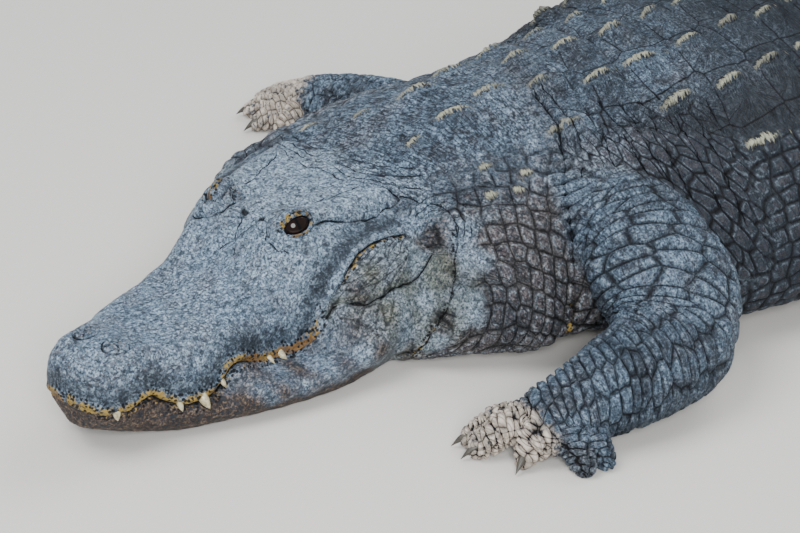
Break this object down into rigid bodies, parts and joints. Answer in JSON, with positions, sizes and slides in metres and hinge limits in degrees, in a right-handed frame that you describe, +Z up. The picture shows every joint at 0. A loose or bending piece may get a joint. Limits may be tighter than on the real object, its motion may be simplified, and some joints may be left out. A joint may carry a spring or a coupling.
{
  "type": "american alligator model",
  "caption": "Life-size still model of an adult American alligator resting on its belly, head turned a little to its left, legs spread and tail trailing in a gentle curve.",
  "frame": {"origin": "middle of the model's box, at the floor that it lies on", "axes": "+X from the snout towards the tail along the trunk, +Z up, so -Y is the animal's left"},
  "size_m": [3.366, 1.1826, 0.3162],
  "materials": {
    "hide_head": "slate blue-grey hide of the head, satin, with pale specks and small dark pits",
    "hide_jaw": "grey-brown hide of the lower jaw, ochre along the lips",
    "hide_neck": "grey-brown scaled hide with dark creases",
    "hide_body": "dark grey scaled hide with keeled scutes, pale along the keels",
    "hide_tail": "dark grey scaled hide with crest scutes",
    "hide_limb": "blue-grey scaled hide in bands with dark creases, sandy on hands and feet",
    "eyeball": "dark brown, wet gloss, upright slit pupil"
  },
  "bodies": {
    "root": {"head": "hide_head", "lower_jaw": "hide_jaw", "eye_L": "eyeball", "eye_R": "eyeball", "neck": "hide_neck", "torso_front": "hide_body", "torso_rear": "hide_body", "tail_base": "hide_tail", "tail_middle": "hide_tail", "tail_tip": "hide_tail", "upper_arm_L": "hide_limb", "forearm_L": "hide_limb", "hand_L": "hide_limb", "upper_arm_R": "hide_limb", "forearm_R": "hide_limb", "hand_R": "hide_limb", "thigh_L": "hide_limb", "shin_L": "hide_limb", "foot_L": "hide_limb", "thigh_R": "hide_limb", "shin_R": "hide_limb", "foot_R": "hide_limb"}
  },
  "joints": []
}
